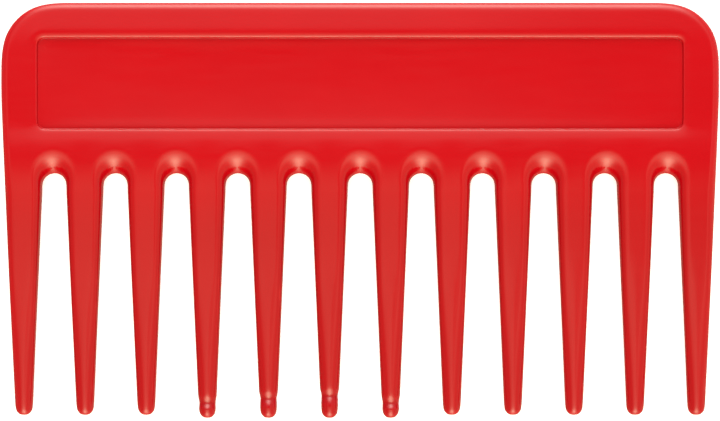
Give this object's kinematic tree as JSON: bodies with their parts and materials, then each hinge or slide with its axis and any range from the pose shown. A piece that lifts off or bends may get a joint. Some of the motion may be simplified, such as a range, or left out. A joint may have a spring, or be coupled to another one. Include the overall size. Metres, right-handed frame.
{
  "type": "wide-tooth mane comb",
  "caption": "Flat one-piece moulded comb: a rounded back with a shallow recessed panel and a row of wide-set tapered teeth with round tips, for mane, tail or coat.",
  "frame": {"origin": "on the surface the comb lies on, under the middle of its overall width and overall length", "axes": "+X along the back from the first tooth to the last, +Y from the tooth tips to the spine, +Z out of the front face that holds the recessed panel"},
  "size_m": [0.12, 0.0694, 0.0045],
  "materials": {
    "red_plastic": "smooth glossy moulded plastic, solid red all through"
  },
  "bodies": {
    "root": {"comb_back": "red_plastic", "tooth_01": "red_plastic", "tooth_02": "red_plastic", "tooth_03": "red_plastic", "tooth_04": "red_plastic", "tooth_05": "red_plastic", "tooth_06": "red_plastic", "tooth_07": "red_plastic", "tooth_08": "red_plastic", "tooth_09": "red_plastic", "tooth_10": "red_plastic", "tooth_11": "red_plastic", "tooth_12": "red_plastic"}
  },
  "joints": []
}
